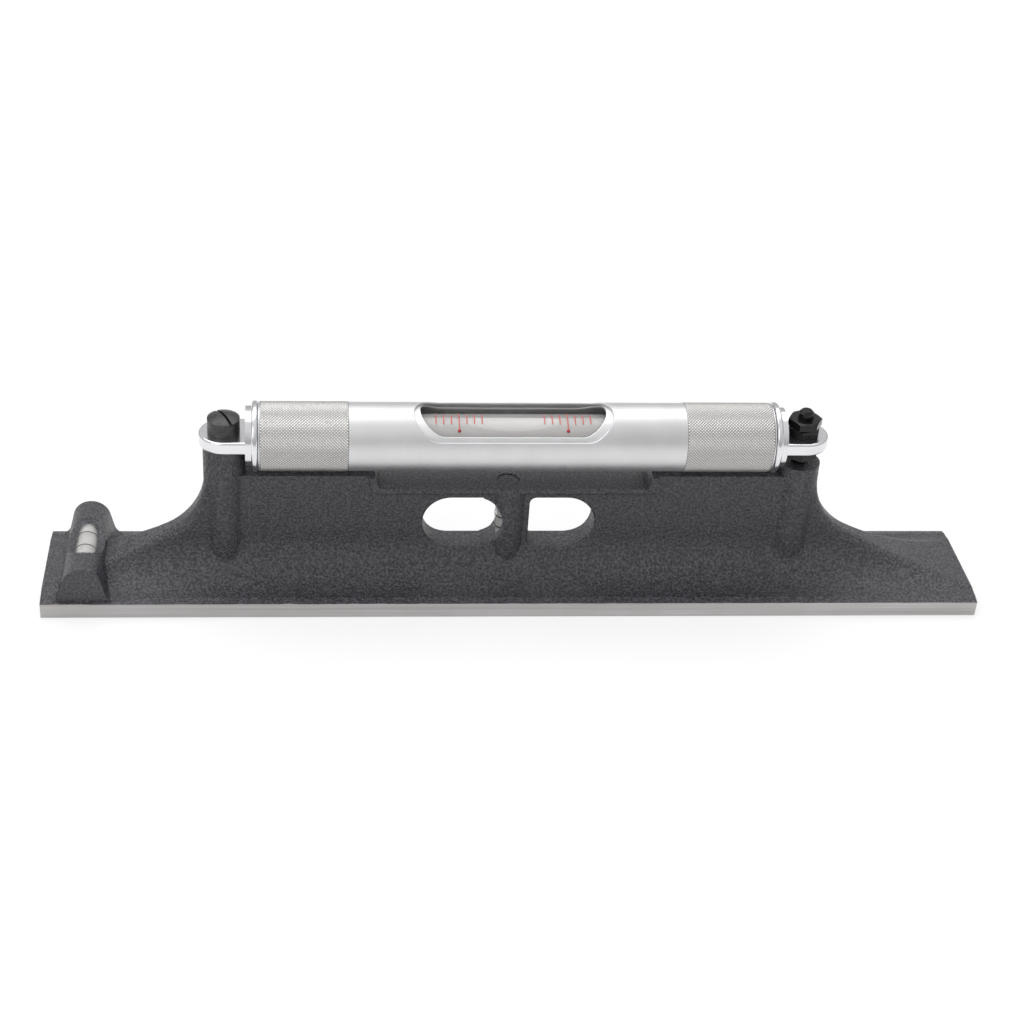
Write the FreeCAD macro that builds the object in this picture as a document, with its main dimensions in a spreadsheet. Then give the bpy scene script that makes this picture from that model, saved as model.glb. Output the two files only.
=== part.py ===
"""Precision machinist level: cast base, tilting vial tube, turning sleeve and two cross vials.

Millimetres, +Z up, +X along the base, origin at the bottom centre of the base.
Every size lives in the Size spreadsheet; sketches and primitives are bound to its aliases.
"""
import FreeCAD, Part
import math
import os
import Sketcher
from FreeCAD import Placement, Rotation, Vector

SIZES = {
    # cast base
    "base_length": 304.8,
    "base_width": 42.0,
    "edge_height": 5.2,
    "flare_rise": 0.7,
    "flare_radius": 14.0,
    "web_thickness": 9.0,
    "web_gap": 1.15,
    "crown_height": 6.5,
    "crest_drop": 1.4,
    "crest_knee_height": 21.25,
    "crest_angle": 62.0,
    "crest_rounding": 3.0,
    "pillar_radius": 6.8,
    "pillar_proud": 0.2,
    "pillar_corner": 2.0,
    "pivot_setback": 58.9,
    "stud_setback": 60.9,
    "stud_seat_drop": 6.1,
    "shaft_groove_radius": 8.0,
    "shaft_groove_depth": 3.2,
    # notch under the tube and its raised border
    "notch_left": 45.5,
    "notch_right": 43.6,
    "notch_depth": 4.1,
    "notch_lean": 1.4,
    "border_thickness": 2.4,
    "border_side": 1.8,
    "border_overhang": 1.5,
    "border_rounding": 1.1,
    # the two windows in the web and the post between them
    "window_margin": 2.0,
    "window_bottom": 16.4,
    "window_left": 29.9,
    "window_right": 26.1,
    "window_corner": 2.2,
    "window_rounding": 0.8,
    "post_shift": 1.95,
    "post_right": 4.7,
    "post_radius": 6.6,
    "scoop_bulge": 0.55,
    "scoop_edge": 3.85,
    # cross vial boss
    "boss_from_end": 13.6,
    "boss_top": 18.0,
    "boss_radius": 6.2,
    "boss_draft_angle": 14.0,
    "boss_setback": 1.0,
    "boss_foot_radius": 3.5,
    "boss_foot_rise": 0.1,
    "cutaway_radius": 14.5,
    "cutaway_depth": 4.2,
    # vials with two lines
    "small_vial_radius": 3.7,
    "small_vial_wall": 0.7,
    "small_vial_gap": 0.05,
    "cross_vial_height": 12.8,
    "cross_vial_length": 31.0,
    "plumb_vial_shift": 2.4,
    "plumb_vial_foot": 11.6,
    "plumb_plug_height": 1.4,
    "plug_recess": 0.3,
    "cross_bubble_length": 7.2,
    "cross_bubble_width": 4.4,
    "cross_bubble_depth": 1.4,
    "plumb_bubble_radius": 2.6,
    # vial tube
    "tube_height": 55.5,
    "sleeve_radius": 10.95,
    "sleeve_wall": 0.85,
    "sleeve_fit": 0.07,
    "sleeve_end_gap": 0.15,
    "carrier_wall": 0.6,
    "window_shift": 1.4,
    "sleeve_window_angle": 18.0,
    "sleeve_window_half": 31.3,
    "sleeve_window_width": 16.5,
    "sleeve_window_corner": 8.1,
    "sleeve_window_round": 0.3,
    "carrier_window_angle": 4.0,
    "carrier_window_half": 29.3,
    "carrier_window_width": 16.2,
    "carrier_window_corner": 7.7,
    "carrier_window_round": 0.2,
    # end caps
    "cap_reach": 10.9,
    "flange_radius": 11.4,
    "flange_thickness": 2.1,
    "hub_radius": 9.8,
    "hub_length": 1.9,
    "spigot_length": 7.0,
    "spigot_fit": 0.02,
    "lug_width": 16.0,
    "lug_thickness": 4.3,
    "lug_drop": 2.4,
    "lug_rounding": 0.8,
    # screw, stud and nuts
    "thread_radius": 2.4,
    "thread_fit": 0.05,
    "lug_hole_fit": 0.35,
    "tilt_gap": 0.06,
    "tapping_depth": 14.0,
    "tapping_clearance": 0.5,
    "screw_head_radius": 5.15,
    "screw_head_side": 4.7,
    "screw_head_dome": 1.3,
    "screw_slot_width": 0.9,
    "screw_slot_depth": 1.9,
    "screw_slot_angle": 119.0,
    "stud_standing": 2.7,
    "stud_chamfer": 0.7,
    "nut_flats": 9.5,
    "nut_bevel": 0.3,
    "nut_bevel_angle": 25.0,
    "top_nut_height": 2.6,
    "lock_nut_height": 2.8,
    "lock_nut_angle": 12.0,
    "adjusting_nut_height": 3.7,
    # main vial
    "vial_radius": 7.2,
    "vial_wall": 1.2,
    "vial_length": 104.0,
    "spirit_gap": 0.02,
    "bubble_length": 29.4,
    "bubble_width": 9.0,
    "bubble_depth": 1.9,
    "packing_grip": 12.0,
    "packing_back": 4.0,
    "backing_thickness": 0.5,
    "backing_gap": 3.0,
    "backing_drop": 1.6,
}

DOCUMENT = FreeCAD.newDocument("machinist_level")
SHEET = DOCUMENT.addObject("Spreadsheet::Sheet", "Size")


class Term:
    """A length or angle worked out from the sheet: its number now, and the formula behind it."""

    def __init__(self, number, formula):
        self.number = float(number)
        self.formula = formula

    def __add__(self, other):
        other = term(other)
        return Term(self.number + other.number, f"({self.formula} + {other.formula})")

    def __sub__(self, other):
        other = term(other)
        return Term(self.number - other.number, f"({self.formula} - {other.formula})")

    def __rsub__(self, other):
        return term(other) - self

    def __mul__(self, other):
        other = term(other)
        return Term(self.number * other.number, f"{self.formula} * {other.formula}")

    def __truediv__(self, other):
        other = term(other)
        return Term(self.number / other.number, f"({self.formula}) / ({other.formula})")

    def __neg__(self):
        return Term(-self.number, f"(0 - {self.formula})")

    __radd__ = __add__
    __rmul__ = __mul__


def term(value):
    """A Term as it is, or a plain number turned into one."""
    return value if isinstance(value, Term) else Term(value, str(value))


def root(value):
    return Term(math.sqrt(value.number), f"sqrt({value.formula})")


def cosine(degrees):
    return Term(math.cos(math.radians(degrees.number)), f"cos({degrees.formula})")


def sine(degrees):
    return Term(math.sin(math.radians(degrees.number)), f"sin({degrees.formula})")


def fill_sheet():
    """Write one alias per row, and return the aliases as terms."""
    terms = {}
    for row, (alias, value) in enumerate(SIZES.items(), start=1):
        SHEET.set(f"A{row}", alias)
        SHEET.set(f"B{row}", str(value))
        SHEET.setAlias(f"B{row}", alias)
        terms[alias] = Term(value, f"Size.{alias}")
    DOCUMENT.recompute()
    return terms


S = fill_sheet()

# ---------------------------------------------------------------- shared places and sizes

HALF_BASE = S["base_length"] / 2
PIVOT_X = S["pivot_setback"] - HALF_BASE
STUD_X = HALF_BASE - S["stud_setback"]
BOSS_X = S["boss_from_end"] - HALF_BASE
TUBE_X = (STUD_X + PIVOT_X) / 2
WINDOW_X = TUBE_X - S["window_shift"]
LUG_UNDERSIDE = S["tube_height"] - S["lug_drop"]
LUG_TOP = LUG_UNDERSIDE + S["lug_thickness"]
PIVOT_SEAT = LUG_UNDERSIDE - S["tilt_gap"]
STUD_SEAT = LUG_UNDERSIDE - S["stud_seat_drop"]
LOCK_NUT_SEAT = LUG_TOP + S["tilt_gap"]
TOP_NUT_SEAT = LOCK_NUT_SEAT + S["lock_nut_height"] + S["tilt_gap"]
ADJUSTING_NUT_FOOT = LUG_UNDERSIDE - S["tilt_gap"] - S["adjusting_nut_height"]
STUD_TOP = TOP_NUT_SEAT + S["top_nut_height"] + S["stud_standing"]
WEB_TOP = S["tube_height"] - S["sleeve_radius"] - S["web_gap"]
CREST_START = WEB_TOP - S["crest_drop"]
CREST_RADIUS = (CREST_START - S["crest_knee_height"]) / sine(S["crest_angle"])
NOTCH_FLOOR = WEB_TOP - S["notch_depth"]
BORDER_FOOT = NOTCH_FLOOR - S["border_thickness"]
WINDOW_TOP = BORDER_FOOT - S["window_margin"]
WINDOW_RADIUS = (WINDOW_TOP - S["window_bottom"]) / 2
SCOOP_RADIUS = WINDOW_RADIUS + S["scoop_bulge"]
SCOOP_REACH = root(SCOOP_RADIUS * SCOOP_RADIUS - WINDOW_RADIUS * WINDOW_RADIUS)
SCOOP_X = SCOOP_REACH - S["scoop_edge"] - SCOOP_RADIUS
PLUMB_X = -S["plumb_vial_shift"]
PLUMB_TOP = NOTCH_FLOOR - S["plug_recess"] - S["plumb_plug_height"]
FLARE_FOOT = S["edge_height"] + S["flare_rise"]
SMALL_BORE_RADIUS = S["small_vial_radius"] + S["small_vial_gap"]
TAPPED_RADIUS = S["thread_radius"] + S["thread_fit"]
LUG_HOLE_RADIUS = S["thread_radius"] + S["lug_hole_fit"]
HALF_SPAN = (STUD_X - PIVOT_X) / 2 - S["cap_reach"]
SLEEVE_BORE = S["sleeve_radius"] - S["sleeve_wall"]
CARRIER_RADIUS = SLEEVE_BORE - S["sleeve_fit"]
CARRIER_BORE = CARRIER_RADIUS - S["carrier_wall"]
VIAL_BORE = S["vial_radius"] - S["vial_wall"]
BOSS_BACK = S["base_width"] / 2 - S["boss_setback"]
BACKING_LENGTH = S["vial_length"] - (S["packing_grip"] + S["backing_gap"]) * 2
THREAD_LENGTH = S["tapping_depth"] - S["tapping_clearance"]
BEYOND = S["base_width"]
ALONG_X = Vector(0, 1, 0)
UPRIGHT = Vector(0, 0, 1)
SLACK = 0.01


# ---------------------------------------------------------------- helpers

def bind(thing, path, value):
    """Tie one property of an object to the sheet."""
    thing.setExpression(path, term(value).formula)


def new_body(label):
    body = DOCUMENT.addObject("PartDesign::Body", label)
    body.Label = label
    return body


def new_sketch(body, name, plane_role, offset=0):
    """A sketch on one of the body's own origin planes, moved along the plane's normal."""
    sketch = body.newObject("Sketcher::SketchObject", name)
    plane = next(item for item in body.Origin.OriginFeatures if item.Role == plane_role)
    sketch.AttachmentSupport = [(plane, "")]
    sketch.MapMode = "FlatFace"
    bind(sketch, "AttachmentOffset.Base.z", offset)
    return sketch


def hold(sketch, rule, value):
    """Add one dimension to a sketch and tie it to the sheet."""
    index = sketch.addConstraint(rule)
    sketch.setExpression(f"Constraints[{index}]", term(value).formula)


def pin_point(sketch, geometry, position, x, y):
    """Hold one point of a sketch at a place worked out from the sheet."""
    for kind, value in (("DistanceX", term(x)), ("DistanceY", term(y))):
        hold(sketch, Sketcher.Constraint(kind, -1, 1, geometry, position, value.number), value)


def add_circle(sketch, x, y, radius):
    centre = Vector(term(x).number, term(y).number, 0)
    circle = sketch.addGeometry(Part.Circle(centre, Vector(0, 0, 1), term(radius).number))
    pin_point(sketch, circle, 3, x, y)
    hold(sketch, Sketcher.Constraint("Radius", circle, term(radius).number), radius)


def arc_shape(start, end, radius, turn):
    """The arc from start to end that turns left (+1) or right (-1), at most a half circle."""
    chord = end - start
    half = chord.Length / 2
    rise = math.sqrt(max(radius * radius - half * half, 0.0))
    side = Vector(-chord.y, chord.x, 0).normalize()
    centre = (start + end) / 2 + side * rise * turn
    first = math.atan2(start.y - centre.y, start.x - centre.x)
    last = math.atan2(end.y - centre.y, end.x - centre.x)
    circle = Part.Circle(centre, Vector(0, 0, 1), radius)
    if turn > 0:
        return Part.ArcOfCircle(circle, first, last)
    return Part.ArcOfCircle(circle, last, first)


def add_outline(sketch, steps):
    """A closed outline. Each step is (x, y) for a straight edge to the next point,
    or (x, y, radius, turn) for an arc to the next point."""
    points = [Vector(term(step[0]).number, term(step[1]).number, 0) for step in steps]
    ends = []
    for index, step in enumerate(steps):
        start = points[index]
        end = points[(index + 1) % len(points)]
        if len(step) == 2:
            edge = sketch.addGeometry(Part.LineSegment(start, end))
            ends.append((edge, 1, 2))
            continue
        radius, turn = term(step[2]), step[3]
        edge = sketch.addGeometry(arc_shape(start, end, radius.number, turn))
        ends.append((edge, 1, 2) if turn > 0 else (edge, 2, 1))
    for index, (edge, first, _last) in enumerate(ends):
        before, _first, last = ends[index - 1]
        sketch.addConstraint(Sketcher.Constraint("Coincident", before, last, edge, first))
    for index, ((edge, first, _last), step) in enumerate(zip(ends, steps)):
        pin_point(sketch, edge, first, step[0], step[1])
        if len(step) == 2:
            continue
        chord = points[(index + 1) % len(points)] - points[index]
        if abs(chord.Length - 2 * term(step[2]).number) > 0.0001:
            hold(sketch, Sketcher.Constraint("Radius", edge, term(step[2]).number), step[2])
        elif abs(chord.x) < abs(chord.y):
            hold(sketch, Sketcher.Constraint("DistanceX", -1, 1, edge, 3, term(step[0]).number), step[0])
        else:
            hold(sketch, Sketcher.Constraint("DistanceY", -1, 1, edge, 3, term(step[1]).number), step[1])


def add_rectangle(sketch, left, right, low, high):
    add_outline(sketch, [(left, low), (right, low), (right, high), (left, high)])


def volume(body):
    return body.Shape.Volume if not body.Shape.isNull() else 0.0


def finish_feature(body, feature, grows):
    """Recompute, and stop if the feature failed or did nothing."""
    before = volume(body)
    body.Tip = feature
    DOCUMENT.recompute()
    change = volume(body) - before
    if not feature.isValid() or (change <= 0 if grows else change >= 0):
        raise RuntimeError(f"{feature.Label} changed the volume by {change:.3f}")
    return feature


def pad(body, sketch, length, symmetric=False, flipped=False):
    feature = body.newObject("PartDesign::Pad", sketch.Name + "_pad")
    feature.Profile = sketch
    feature.SideType = "Symmetric" if symmetric else "One side"
    feature.Reversed = flipped
    bind(feature, "Length", length)
    return finish_feature(body, feature, grows=True)


def pocket(body, sketch, length, symmetric=False, flipped=False):
    feature = body.newObject("PartDesign::Pocket", sketch.Name + "_cut")
    feature.Profile = sketch
    feature.SideType = "Symmetric" if symmetric else "One side"
    feature.Reversed = flipped
    bind(feature, "Length", length)
    return finish_feature(body, feature, grows=False)


def revolve(body, sketch, axis_role):
    feature = body.newObject("PartDesign::Revolution", sketch.Name + "_turn")
    feature.Profile = sketch
    axis = next(item for item in body.Origin.OriginFeatures if item.Role == axis_role)
    feature.ReferenceAxis = (axis, [""])
    feature.Angle = 360
    return finish_feature(body, feature, grows=True)


def round_edges(body, name, radius, wanted, kind="PartDesign::Fillet"):
    """Round or chamfer the edges of the body that the test picks out."""
    base = body.Tip
    edges = [f"Edge{i}" for i, edge in enumerate(base.Shape.Edges, start=1) if wanted(edge)]
    if not edges:
        raise RuntimeError(f"{name} found no edge")
    feature = body.newObject(kind, name)
    feature.Base = (base, edges)
    bind(feature, "Radius" if kind.endswith("Fillet") else "Size", radius)
    body.Tip = feature
    DOCUMENT.recompute()
    if not feature.isValid():
        raise RuntimeError(f"{name} failed")
    return feature


def primitive(kind, name, **sizes):
    shape = DOCUMENT.addObject(f"Part::{kind}", name)
    for path, value in sizes.items():
        bind(shape, path, value)
    return shape


def place(thing, x=0, y=0, z=0, axis=None, angle=0):
    """Put an object at a place worked out from the sheet, turned about an axis."""
    if axis is not None:
        thing.Placement = Placement(Vector(0, 0, 0), Rotation(axis, term(angle).number))
        bind(thing, "Placement.Rotation.Angle", angle)
    bind(thing, "Placement.Base.x", x)
    bind(thing, "Placement.Base.y", y)
    bind(thing, "Placement.Base.z", z)
    return thing


def rod_x(name, radius, left, length, height=S["tube_height"], **more):
    """A cylinder along X whose left face is at the given place."""
    rod = primitive("Cylinder", name, Radius=radius, Height=length, **more)
    return place(rod, x=left, z=height, axis=ALONG_X, angle=90)


def cut(name, base, tool):
    result = DOCUMENT.addObject("Part::Cut", name)
    result.Base = base
    result.Tool = tool
    result.Label = name
    return result


def fuse(name, shapes):
    result = DOCUMENT.addObject("Part::MultiFuse", name)
    result.Shapes = shapes
    result.Label = name
    return result


def near(value, wanted):
    return abs(value - wanted.number) < SLACK


# ---------------------------------------------------------------- cast base

def crest_steps(reach):
    """Where a pillar's short arc meets the long arc to the end of the base, and the long radius."""
    angle = S["crest_angle"]
    knee_x = reach + CREST_RADIUS * (1 - cosine(angle))
    run = HALF_BASE - knee_x
    drop = S["crest_knee_height"] - S["crown_height"]
    # the long arc leaves the knee in the short arc's direction and reaches the base's end
    long_radius = (run * run + drop * drop) / ((run * cosine(angle) - drop * sine(angle)) * 2)
    return knee_x, long_radius


def side_outline():
    """Side elevation of the casting: base, rising arcs, web top with its notch."""
    right_reach = STUD_X + S["pillar_radius"] - S["pillar_proud"]
    left_reach = -PIVOT_X + S["pillar_radius"] - S["pillar_proud"]
    right_x, right_radius = crest_steps(right_reach)
    left_x, left_radius = crest_steps(left_reach)
    return [
        (-HALF_BASE, 0),
        (HALF_BASE, 0),
        (HALF_BASE, S["crown_height"], right_radius, -1),
        (right_x, S["crest_knee_height"], CREST_RADIUS, -1),
        (right_reach, CREST_START),
        (right_reach, WEB_TOP),
        (S["notch_right"], WEB_TOP),
        (S["notch_right"] - S["notch_lean"], NOTCH_FLOOR),
        (S["notch_lean"] - S["notch_left"], NOTCH_FLOOR),
        (-S["notch_left"], WEB_TOP),
        (-left_reach, WEB_TOP),
        (-left_reach, CREST_START, CREST_RADIUS, -1),
        (-left_x, S["crest_knee_height"], left_radius, -1),
        (-HALF_BASE, S["crown_height"]),
    ]


def flare_outline(side):
    """What is cut away beside the web, so that the web flares out into the base."""
    half = S["web_thickness"] / 2
    foot = half + S["flare_radius"]
    edge = S["base_width"] / 2
    high = WEB_TOP + S["edge_height"]
    points = [
        (half * side, high),
        (half * side, FLARE_FOOT + S["flare_radius"], S["flare_radius"], side),
        (foot * side, FLARE_FOOT),
        (edge * side, S["edge_height"]),
        ((edge + S["edge_height"]) * side, S["edge_height"]),
        ((edge + S["edge_height"]) * side, high),
    ]
    return points


def border_outline():
    """The raised border round the notch, as a U seen from the side."""
    side = S["border_side"]
    floor = NOTCH_FLOOR
    return [
        (-S["notch_left"] - side, WEB_TOP),
        (S["notch_lean"] - S["notch_left"] - side, floor - S["border_thickness"]),
        (S["notch_right"] - S["notch_lean"] + side, floor - S["border_thickness"]),
        (S["notch_right"] + side, WEB_TOP),
        (S["notch_right"], WEB_TOP),
        (S["notch_right"] - S["notch_lean"], floor),
        (S["notch_lean"] - S["notch_left"], floor),
        (-S["notch_left"], WEB_TOP),
    ]


def left_window_outline():
    """Round outer end, open towards the post."""
    outer = WINDOW_RADIUS - S["window_left"]
    return [
        (outer, S["window_bottom"]),
        (SCOOP_X, S["window_bottom"]),
        (SCOOP_X, WINDOW_TOP),
        (outer, WINDOW_TOP, WINDOW_RADIUS, 1),
    ]


def scoop_outline():
    """The left window's inner end, scooped into the post to bare the plumb vial."""
    middle = -S["scoop_edge"] - SCOOP_RADIUS
    return [
        (middle, S["window_bottom"]),
        (SCOOP_X, S["window_bottom"], SCOOP_RADIUS, 1),
        (SCOOP_X, WINDOW_TOP),
        (middle, WINDOW_TOP),
    ]


def right_window_outline():
    """Round outer end; the inner end is straight with small corners."""
    outer = S["window_right"] - WINDOW_RADIUS
    inner = S["post_right"]
    corner = S["window_corner"]
    return [
        (inner + corner, S["window_bottom"]),
        (outer, S["window_bottom"], WINDOW_RADIUS, 1),
        (outer, WINDOW_TOP),
        (inner + corner, WINDOW_TOP, corner, 1),
        (inner, WINDOW_TOP - corner),
        (inner, S["window_bottom"] + corner, corner, 1),
    ]


def boss_outline():
    """Section of the cross vial boss: a round top on drafted flanks that sweep into the base."""
    radius = S["boss_radius"]
    draft = S["boss_draft_angle"]
    sweep = S["boss_foot_radius"]
    middle = S["boss_top"] - radius
    shoulder = radius * cosine(draft)
    shoulder_z = middle + radius * sine(draft)
    low = S["edge_height"] / 2
    foot_z = S["edge_height"] + S["boss_foot_rise"]
    flank_z = foot_z + sweep * (1 - sine(draft))
    flank = shoulder + (shoulder_z - flank_z) * sine(draft) / cosine(draft)
    foot = flank + sweep * cosine(draft)
    return [
        (BOSS_X - foot, low),
        (BOSS_X + foot, low),
        (BOSS_X + foot, foot_z, sweep, -1),
        (BOSS_X + flank, flank_z),
        (BOSS_X + shoulder, shoulder_z, radius, 1),
        (BOSS_X - shoulder, shoulder_z),
        (BOSS_X - flank, flank_z, sweep, -1),
        (BOSS_X - foot, foot_z),
    ]


def build_base():
    body = new_body("base_casting")
    side = new_sketch(body, "base_side", "XZ_Plane")
    add_outline(side, side_outline())
    pad(body, side, S["base_width"], symmetric=True)

    for name, hand in (("front_flare", -1), ("back_flare", 1)):
        flare = new_sketch(body, name, "YZ_Plane")
        add_outline(flare, flare_outline(hand))
        pocket(body, flare, S["base_length"] * 2, symmetric=True)

    round_edges(body, "crest_round", S["crest_rounding"], is_crest_edge)

    for name, outline in (("left_window", left_window_outline()), ("right_window", right_window_outline())):
        window = new_sketch(body, name, "XZ_Plane")
        add_outline(window, outline)
        pocket(body, window, BEYOND, symmetric=True)
    round_edges(body, "window_round", S["window_rounding"], is_window_edge)

    for name, x, seat, radius in (
        ("pivot_pillar", PIVOT_X, PIVOT_SEAT, S["pillar_radius"]),
        ("stud_pillar", STUD_X, STUD_SEAT, S["pillar_radius"]),
        ("post_pillar", -S["post_shift"], NOTCH_FLOOR, S["post_radius"]),
    ):
        pillar = new_sketch(body, name, "XY_Plane")
        add_circle(pillar, x, 0, radius)
        pad(body, pillar, seat)
    for name, x in (("pivot", PIVOT_X), ("stud", STUD_X)):
        round_edges(body, name + "_corners", S["pillar_corner"], pillar_corner_test(x))

    border = new_sketch(body, "notch_border", "XZ_Plane")
    add_outline(border, border_outline())
    pad(body, border, S["web_thickness"] + S["border_overhang"] * 2, symmetric=True)
    round_edges(body, "border_round", S["border_rounding"], is_border_edge)

    scoop = new_sketch(body, "window_scoop", "XZ_Plane")
    add_outline(scoop, scoop_outline())
    pocket(body, scoop, BEYOND, symmetric=True)

    boss = new_sketch(body, "cross_boss", "XZ_Plane")
    add_outline(boss, boss_outline())
    pad(body, boss, S["base_width"] - S["boss_setback"] * 2, symmetric=True)

    cutaway = new_sketch(body, "cross_cutaway", "YZ_Plane", BOSS_X)
    add_circle(cutaway, 0, S["boss_top"] - S["cutaway_depth"] + S["cutaway_radius"], S["cutaway_radius"])
    pocket(body, cutaway, S["boss_from_end"] * 2, symmetric=True)

    cross_bore = new_sketch(body, "cross_bore", "XZ_Plane", -BOSS_BACK)
    add_circle(cross_bore, BOSS_X, S["cross_vial_height"], SMALL_BORE_RADIUS)
    pocket(body, cross_bore, BOSS_BACK + S["cross_vial_length"] / 2 + S["small_vial_gap"], flipped=True)

    plumb_bore = new_sketch(body, "plumb_bore", "XY_Plane", NOTCH_FLOOR)
    add_circle(plumb_bore, PLUMB_X, 0, SMALL_BORE_RADIUS)
    pocket(body, plumb_bore, NOTCH_FLOOR - S["plumb_vial_foot"])

    for name, x, seat in (("pivot_tapping", PIVOT_X, PIVOT_SEAT), ("stud_tapping", STUD_X, STUD_SEAT)):
        tapping = new_sketch(body, name, "XY_Plane", seat)
        add_circle(tapping, x, 0, TAPPED_RADIUS)
        pocket(body, tapping, S["tapping_depth"])

    groove = new_sketch(body, "shaft_groove", "YZ_Plane")
    add_circle(groove, 0, S["shaft_groove_depth"] - S["shaft_groove_radius"], S["shaft_groove_radius"])
    pocket(body, groove, S["base_length"] * 2, symmetric=True)
    return body


def is_crest_edge(edge):
    """Edges where the rising arcs and the web's ends meet the flared sides."""
    middle = edge.CenterOfMass
    box = edge.BoundBox
    clear = SIZES["pillar_radius"] - SIZES["pillar_corner"]
    outside = middle.x > STUD_X.number + clear or middle.x < PIVOT_X.number - clear
    along = box.YLength < SIZES["base_width"] / 2 and box.ZLength > 1
    return outside and along and box.ZMin > SIZES["edge_height"] and abs(middle.y) > 1


def is_window_edge(edge):
    """The rims of the two windows, apart from the side that the scoop opens."""
    box = edge.BoundBox
    rim = box.YLength < 0.01 and near(abs(box.YMin), S["web_thickness"] / 2)
    high = box.ZMin > SIZES["window_bottom"] - SLACK and box.ZMax < WINDOW_TOP.number + SLACK
    inside = box.XMin > -SIZES["window_left"] - SLACK and box.XMax < SIZES["window_right"] + SLACK
    scooped = box.XLength < 0.01 and near(box.XMin, SCOOP_X)
    foot = near(box.ZMin, FLARE_FOOT + S["flare_radius"]) and box.ZLength < 0.01
    return rim and high and inside and not scooped and not foot


def pillar_corner_test(x):
    """Picks the upright edges where a pillar meets the faces of the web."""
    def wanted(edge):
        box = edge.BoundBox
        upright = box.XLength < 0.01 and box.YLength < 0.01
        close = abs(box.XMin - x.number) < SIZES["pillar_radius"]
        return upright and close and near(abs(box.YMin), S["web_thickness"] / 2)
    return wanted


def is_border_edge(edge):
    """The lower outer edges of the notch's border."""
    box = edge.BoundBox
    side = near(abs(box.YMin), S["web_thickness"] / 2 + S["border_overhang"]) and box.YLength < 0.01
    return side and box.ZLength < 0.01 and near(box.ZMin, BORDER_FOOT)


# ---------------------------------------------------------------- screw, stud and nuts

def build_pivot_screw():
    body = new_body("pivot_screw")
    neck = S["tilt_gap"] * 2 + S["lug_thickness"]
    head = S["screw_head_radius"]
    top = neck + S["screw_head_side"]
    dome = (head * head + S["screw_head_dome"] * S["screw_head_dome"]) / (S["screw_head_dome"] * 2)
    profile = new_sketch(body, "screw_profile", "XZ_Plane")
    add_outline(profile, [
        (0, -THREAD_LENGTH),
        (S["thread_radius"], -THREAD_LENGTH),
        (S["thread_radius"], neck),
        (head, neck),
        (head, top, dome, 1),
        (0, top + S["screw_head_dome"]),
    ])
    revolve(body, profile, "Z_Axis")
    slot = new_sketch(body, "screw_slot", "XY_Plane", top + S["screw_head_dome"])
    add_rectangle(slot, -head * 2, head * 2, -S["screw_slot_width"] / 2, S["screw_slot_width"] / 2)
    pocket(body, slot, S["screw_slot_depth"])
    return place(body, x=PIVOT_X, z=PIVOT_SEAT, axis=UPRIGHT, angle=S["screw_slot_angle"])


def build_stud():
    body = new_body("adjusting_stud")
    foot = STUD_SEAT - THREAD_LENGTH
    section = new_sketch(body, "stud_section", "XY_Plane", foot)
    add_circle(section, STUD_X, 0, S["thread_radius"])
    pad(body, section, STUD_TOP - foot)
    round_edges(body, "stud_end", S["stud_chamfer"],
                lambda edge: near(edge.BoundBox.ZMin, STUD_TOP), "PartDesign::Chamfer")
    return body


def build_nut(label, low, height, turn):
    """A hexagon nut whose upper corners are turned to a shallow cone."""
    body = new_body(label)
    flats = S["nut_flats"] / 2
    corner = flats / cosine(term(30))
    section = new_sketch(body, label + "_hexagon", "XY_Plane")
    add_outline(section, [(corner * cosine(term(60 * i)), corner * sine(term(60 * i))) for i in range(6)])
    pad(body, section, height)
    bore = new_sketch(body, label + "_bore", "XY_Plane", height)
    add_circle(bore, 0, 0, TAPPED_RADIUS)
    pocket(body, bore, height)
    bevel = new_sketch(body, label + "_bevel", "XZ_Plane")
    inner = flats - S["nut_bevel"]
    outer = corner + S["nut_bevel"]
    fall = (outer - inner) * sine(S["nut_bevel_angle"]) / cosine(S["nut_bevel_angle"])
    add_outline(bevel, [(inner, height), (outer, height - fall), (outer, height)])
    groove = body.newObject("PartDesign::Groove", label + "_bevel_cut")
    groove.Profile = bevel
    axis = next(item for item in body.Origin.OriginFeatures if item.Role == "Z_Axis")
    groove.ReferenceAxis = (axis, [""])
    groove.Angle = 360
    finish_feature(body, groove, grows=False)
    return place(body, x=STUD_X, z=low, axis=UPRIGHT, angle=turn)


def build_nuts():
    return [
        build_nut("adjusting_nut", ADJUSTING_NUT_FOOT, S["adjusting_nut_height"], S["lock_nut_angle"] * 2),
        build_nut("lock_nut", LOCK_NUT_SEAT, S["lock_nut_height"], S["lock_nut_angle"]),
        build_nut("top_nut", TOP_NUT_SEAT, S["top_nut_height"], term(0)),
    ]


# ---------------------------------------------------------------- vial tube

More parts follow.
